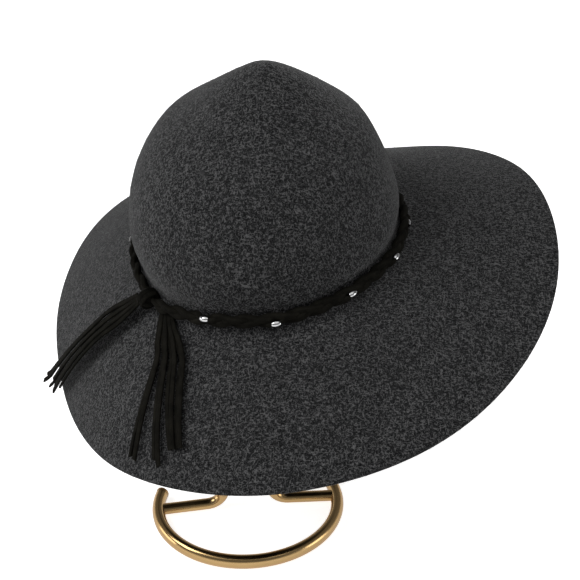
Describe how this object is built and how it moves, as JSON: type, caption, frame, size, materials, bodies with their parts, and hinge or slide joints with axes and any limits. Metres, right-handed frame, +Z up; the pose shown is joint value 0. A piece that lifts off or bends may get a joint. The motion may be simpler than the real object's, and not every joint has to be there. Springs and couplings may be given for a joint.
{
  "type": "wide-brim wool felt hat on a metal hat stand",
  "caption": "Wide-brim wool felt hat with a braided suede band, beads and lace tassels, resting tilted on an open-ring stand of bent gold-coloured rod.",
  "frame": {"origin": "bottom centre of the whole object's box, on the floor below the stand", "axes": "+Z up, -Y towards the front of the stand, +X to the right of someone who faces the front"},
  "size_m": [0.3448, 0.38, 0.389],
  "materials": {
    "felt": "matte",
    "suede": "matte",
    "silver": "polished",
    "gold": "polished"
  },
  "bodies": {
    "root": {"felt_body": "felt", "band": "suede", "knot": "suede", "tassel_front": "suede", "tassel_side": "suede", "bead_1": "silver", "bead_2": "silver", "bead_3": "silver", "bead_4": "silver", "bead_5": "silver", "bead_6": "silver", "bead_7": "silver", "bead_8": "silver", "bead_9": "silver", "bead_10": "silver", "bead_11": "silver", "bead_12": "silver", "stand": "gold"}
  },
  "joints": []
}
